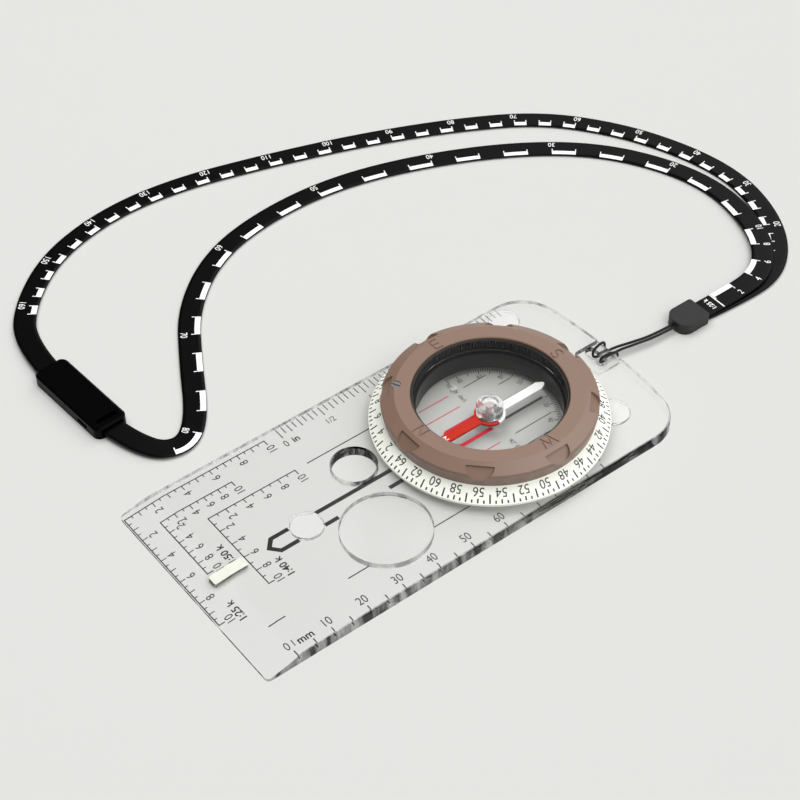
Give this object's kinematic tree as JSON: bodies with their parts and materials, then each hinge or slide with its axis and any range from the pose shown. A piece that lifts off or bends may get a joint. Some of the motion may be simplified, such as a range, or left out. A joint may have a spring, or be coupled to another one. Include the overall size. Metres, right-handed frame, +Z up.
{
  "type": "baseplate compass",
  "caption": "Flat clear map compass with a turning dial on a liquid-filled needle capsule, a magnifier, printed map scales and a ribbon lanyard with a breakaway clip.",
  "frame": {"origin": "on the surface the compass lies on, under the middle of the baseplate", "axes": "+Y towards the map end, the direction of travel; +X towards the side with the inch scale; +Z up out of the plate"},
  "size_m": [0.1623, 0.2064, 0.0121],
  "materials": {
    "clear_acrylic": "clear gloss",
    "glow_plastic": "satin, glows in the dark",
    "silicone": "frosted",
    "acetal": "matte",
    "taupe_plastic": "satin",
    "steel": "bright",
    "magnet_steel": "dull",
    "black_plastic": "satin",
    "grey_plastic": "satin",
    "seal_rubber": "matte",
    "needle_red": "gloss",
    "needle_white": "gloss",
    "jewel": "polished",
    "black_cord": "braided",
    "black_webbing": "woven, printed"
  },
  "bodies": {
    "plate": {"baseplate": "clear_acrylic", "magnifier_lens": "clear_acrylic", "luminous_strip": "glow_plastic", "foot_arrow": "silicone", "foot_west": "silicone", "foot_east": "silicone", "glide_ring": "acetal", "hitch_cord": "black_cord", "ferrule_base": "grey_plastic", "ferrule_cap": "grey_plastic", "ribbon_25k": "black_webbing", "ribbon_50k": "black_webbing", "buckle_socket": "black_plastic", "buckle_plug": "black_plastic"},
    "dial": {"graduated_ring": "glow_plastic", "bezel": "taupe_plastic", "retaining_clip": "acetal"},
    "screw": {"declination_screw": "steel", "declination_pinion": "acetal"},
    "capsule": {"capsule_base": "clear_acrylic", "capsule_gear_ring": "black_plastic", "capsule_lid": "clear_acrylic", "capsule_seal": "seal_rubber", "declination_disc": "clear_acrylic", "filler_plug": "seal_rubber", "pivot_pin": "steel"},
    "needle": {"needle_north": "needle_red", "needle_south": "needle_white", "needle_magnet": "magnet_steel", "needle_hub": "clear_acrylic", "needle_jewel": "jewel"}
  },
  "joints": [
    {"name": "dial_spin", "type": "hinge", "parent": "plate", "child": "dial", "pos_m": [0, -0.024, 0.0075], "axis": [0, 0, 1], "continuous": true},
    {"name": "capsule_declination", "type": "hinge", "parent": "dial", "child": "capsule", "pos_m": [0, -0.024, 0.007], "axis": [0, 0, 1], "range_deg": [-80, 80]},
    {"name": "declination_screw_spin", "type": "hinge", "parent": "dial", "child": "screw", "pos_m": [0.01626, -0.00774, 0.0085], "axis": [0, 0, 1], "range_deg": [-840, 840]},
    {"name": "needle_swing", "type": "hinge", "parent": "capsule", "child": "needle", "pos_m": [0, -0.024, 0.0065], "axis": [0, 0, 1], "continuous": true}
  ],
  "couplings": [
    {"joint": "declination_screw_spin", "follows": "capsule_declination", "ratio": -10.5}
  ]
}
